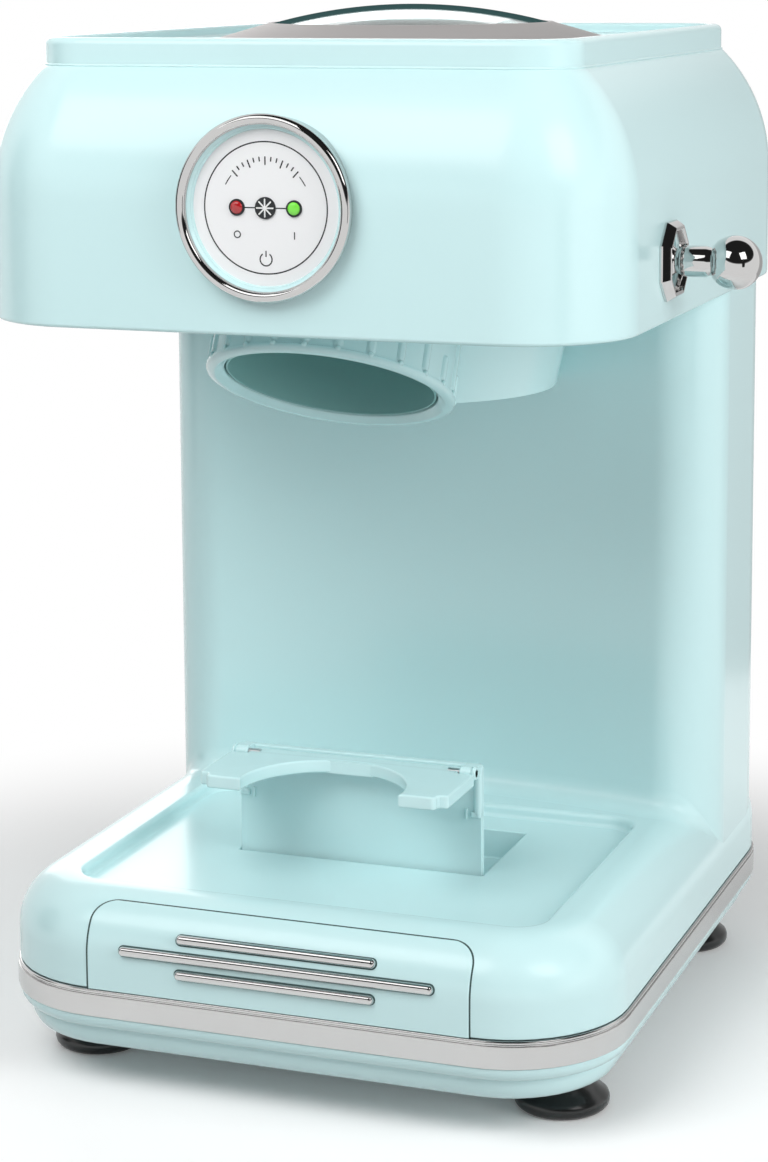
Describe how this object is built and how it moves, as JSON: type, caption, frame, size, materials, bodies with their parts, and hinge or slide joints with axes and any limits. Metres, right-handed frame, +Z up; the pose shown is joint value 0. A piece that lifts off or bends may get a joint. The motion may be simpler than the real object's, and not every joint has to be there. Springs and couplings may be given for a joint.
{
  "type": "snow cone machine",
  "caption": "Countertop shaved-ice machine: rounded base, rear column and overhanging head with hopper, cutter, tilted chute, dial, ball lever and folding cone holder.",
  "frame": {"origin": "on the table plane, under the middle of the base", "axes": "+X to the machine's right (lever side), +Y to its back, +Z up"},
  "size_m": [0.2368, 0.2477, 0.3418],
  "materials": {
    "aqua_plastic": "glossy moulded plastic",
    "chrome_trim": "polished chrome plating",
    "black_rubber": "glossy black rubber",
    "steel": "bright steel",
    "lid_silver": "satin silver",
    "clear_smoke": "clear smoke-tinted plastic",
    "white_plastic": "white moulded plastic",
    "black_plastic": "black moulded plastic",
    "dark_chute": "dark teal moulded plastic",
    "dial_white": "printed dial",
    "red_lens": "red lamp lens",
    "green_lens": "green lamp lens",
    "brass": "sintered bronze",
    "circuit_board": "circuit board"
  },
  "bodies": {
    "housing": {"base_pan": "aqua_plastic", "chrome_band": "chrome_trim", "foot_front_left": "black_rubber", "foot_front_right": "black_rubber", "foot_rear_left": "black_rubber", "foot_rear_right": "black_rubber", "foot_screws": "steel", "pan_screws": "steel", "body_shell": "aqua_plastic", "front_panel": "aqua_plastic", "front_trim": "chrome_trim", "rear_cover": "aqua_plastic", "cover_screws": "steel", "cord_gland": "black_plastic", "terminal_block": "white_plastic", "wire_harness": "black_plastic", "head_floor": "aqua_plastic", "head_screws": "steel", "head_shell": "aqua_plastic", "top_frame": "aqua_plastic", "hopper": "white_plastic", "cutter_housing": "aqua_plastic", "ice_chute": "dark_chute", "chute_collar": "aqua_plastic", "upper_bush": "brass", "lower_bush": "brass", "motor_bracket": "steel", "motor_can": "steel", "motor_screws": "steel", "gauge_bezel": "chrome_trim", "gauge_cup": "black_plastic", "gauge_dial": "dial_white", "dial_hub": "black_plastic", "red_lamp": "red_lens", "green_lamp": "green_lens", "lamp_board": "circuit_board", "lever_plate": "chrome_trim", "lever_bracket": "steel", "lever_pin": "steel", "micro_switch": "black_plastic"},
    "lid": {"lid_ring": "lid_silver", "lid_dome": "clear_smoke", "lid_gasket": "black_rubber"},
    "cutter": {"cutter_shaft": "steel", "drive_gear": "white_plastic", "cutter_disc": "steel", "cutter_blades": "steel", "blade_screws": "steel", "disc_nut": "steel"},
    "motor_rotor": {"motor_shaft": "steel", "pinion": "steel"},
    "lever": {"lever_stem": "chrome_trim", "lever_ball": "chrome_trim"},
    "holder_wall": {"holder_wall": "aqua_plastic", "holder_pins": "steel"},
    "holder_shelf": {"holder_shelf": "aqua_plastic", "shelf_pins": "steel"}
  },
  "joints": [
    {"name": "lid_lift", "type": "slide", "parent": "housing", "child": "lid", "axis": [0, 0, 1], "range_m": [0, 0.09]},
    {"name": "cutter_spin", "type": "hinge", "parent": "housing", "child": "cutter", "pos_m": [0, 0.008, 0.252], "axis": [0, 0, 1], "continuous": true},
    {"name": "motor_spin", "type": "hinge", "parent": "housing", "child": "motor_rotor", "pos_m": [0, 0.074, 0.252], "axis": [0, 0, 1], "continuous": true},
    {"name": "lever_tilt", "type": "hinge", "parent": "housing", "child": "lever", "pos_m": [0.094, -0.0494, 0.2625], "axis": [0, 1, 0], "range_deg": [-12, 12], "stiffness_Nm_per_rad": 0.4},
    {"name": "holder_fold", "type": "hinge", "parent": "housing", "child": "holder_wall", "pos_m": [0, -0.0445, 0.0534], "axis": [-1, 0, 0], "range_deg": [0, 90]},
    {"name": "shelf_fold", "type": "hinge", "parent": "holder_wall", "child": "holder_shelf", "pos_m": [0, -0.0505, 0.095], "axis": [1, 0, 0], "range_deg": [0, 90]}
  ],
  "couplings": [
    {"joint": "motor_spin", "follows": "cutter_spin", "ratio": -4.5}
  ]
}
